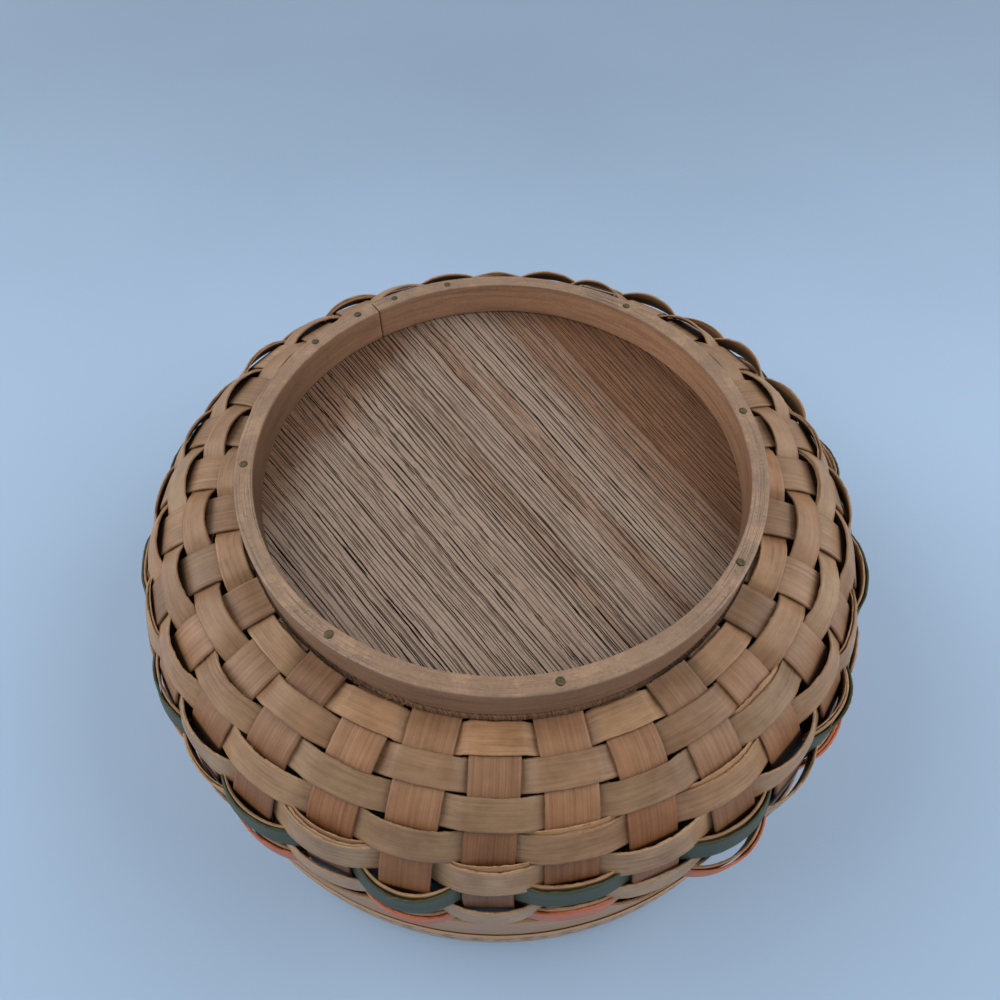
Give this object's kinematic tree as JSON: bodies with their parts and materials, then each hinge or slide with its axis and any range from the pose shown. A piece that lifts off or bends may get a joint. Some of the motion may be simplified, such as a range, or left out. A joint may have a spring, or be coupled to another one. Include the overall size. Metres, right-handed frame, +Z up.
{
  "type": "woven wood basket",
  "caption": "Round splint-woven basket with a bellied wall, a broad banded rim, a recessed plywood base and a bent-wood foot hoop, shown upside down.",
  "frame": {"origin": "middle of the circle on which the rim stands, at the height of the rim's edge", "axes": "+Z up through the base in the pictured pose (upside down, mouth facing -Z); +X to the right and -Y towards the viewer in the picture"},
  "size_m": [0.303, 0.303, 0.137],
  "materials": {
    "hoop_wood": "sanded bent solid wood, clear, satin",
    "panel_plywood": "raw open-grained plywood",
    "clamp_plywood": "raw plywood",
    "brass": "dulled brass brad heads",
    "spoke_splint": "split wood with the grain along its length, slightly darker than the weavers",
    "weaver_splint": "natural split wood, satin, with torn edges",
    "green_splint": "splint dyed dark green",
    "orange_splint": "splint dyed faded orange",
    "band_wood": "broad bent band, clear, satin",
    "strip_wood": "narrow bent strip with a painted vine",
    "liner_wood": "thin bent band inside the rim"
  },
  "bodies": {
    "root": {"base_hoop": "hoop_wood", "base_panel": "panel_plywood", "clamp_ring": "clamp_plywood", "rim_band": "band_wood", "rim_strip": "strip_wood", "rim_liner": "liner_wood", "green_splint": "green_splint", "orange_splint": "orange_splint", "brad_01": "brass", "brad_02": "brass", "brad_03": "brass", "brad_04": "brass", "brad_05": "brass", "brad_06": "brass", "brad_07": "brass", "brad_08": "brass", "brad_09": "brass", "brad_10": "brass", "spoke_01": "spoke_splint", "spoke_02": "spoke_splint", "spoke_03": "spoke_splint", "spoke_04": "spoke_splint", "spoke_05": "spoke_splint", "spoke_06": "spoke_splint", "spoke_07": "spoke_splint", "spoke_08": "spoke_splint", "spoke_09": "spoke_splint", "spoke_10": "spoke_splint", "spoke_11": "spoke_splint", "spoke_12": "spoke_splint", "spoke_13": "spoke_splint", "spoke_14": "spoke_splint", "spoke_15": "spoke_splint", "spoke_16": "spoke_splint", "spoke_17": "spoke_splint", "spoke_18": "spoke_splint", "spoke_19": "spoke_splint", "spoke_20": "spoke_splint", "spoke_21": "spoke_splint", "spoke_22": "spoke_splint", "spoke_23": "spoke_splint", "spoke_24": "spoke_splint", "spoke_25": "spoke_splint", "spoke_26": "spoke_splint", "spoke_27": "spoke_splint", "spoke_28": "spoke_splint", "spoke_29": "spoke_splint", "spoke_30": "spoke_splint", "spoke_31": "spoke_splint", "spoke_32": "spoke_splint", "weaver_row_01": "weaver_splint", "weaver_row_02": "weaver_splint", "weaver_row_03": "weaver_splint", "weaver_row_04": "weaver_splint", "weaver_row_05": "weaver_splint", "weaver_row_06": "weaver_splint", "weaver_row_07": "weaver_splint", "weaver_row_08": "weaver_splint", "weaver_row_09": "weaver_splint", "weaver_row_10": "weaver_splint"}
  },
  "joints": []
}
